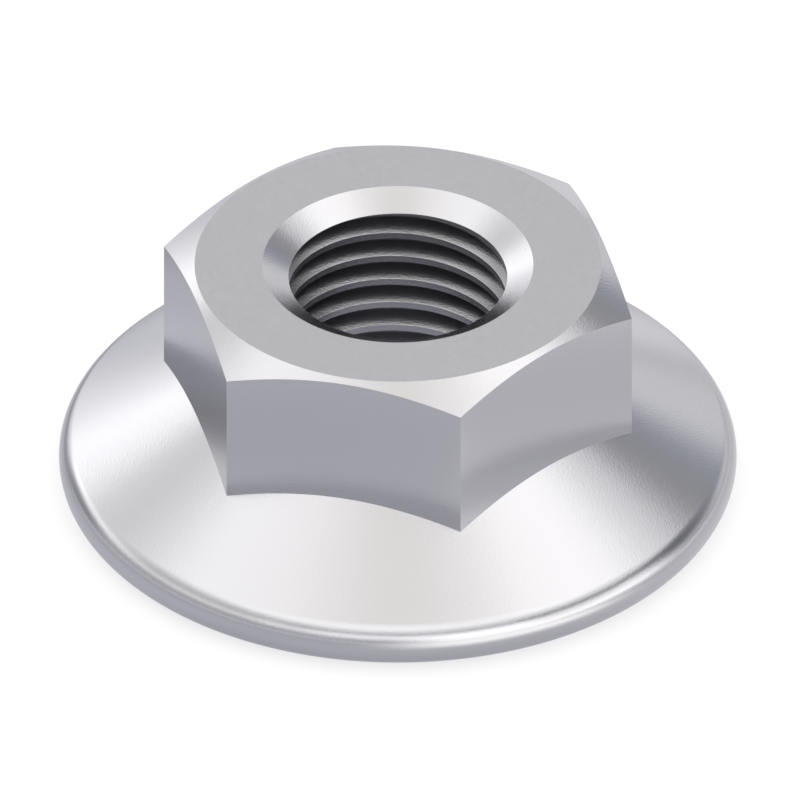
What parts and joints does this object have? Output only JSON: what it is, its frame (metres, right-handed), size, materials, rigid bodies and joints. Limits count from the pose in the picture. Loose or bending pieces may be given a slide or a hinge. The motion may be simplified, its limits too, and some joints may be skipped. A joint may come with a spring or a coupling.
{
  "type": "profile flange nut",
  "caption": "Hexagon nut on a wide conical flange with a rounded rim, threaded right through, for clamping parts to slotted profiles.",
  "frame": {"origin": "centre of the flat bearing face, under the flange", "axes": "+Z along the thread's axis, from the bearing face to the top face; +X towards a corner of the hexagon"},
  "size_m": [0.021, 0.021, 0.0081],
  "materials": {
    "plated_steel": "bright zinc plating, satin with a fine grain, slightly blue"
  },
  "bodies": {
    "root": {"flange_nut": "plated_steel"}
  },
  "joints": []
}
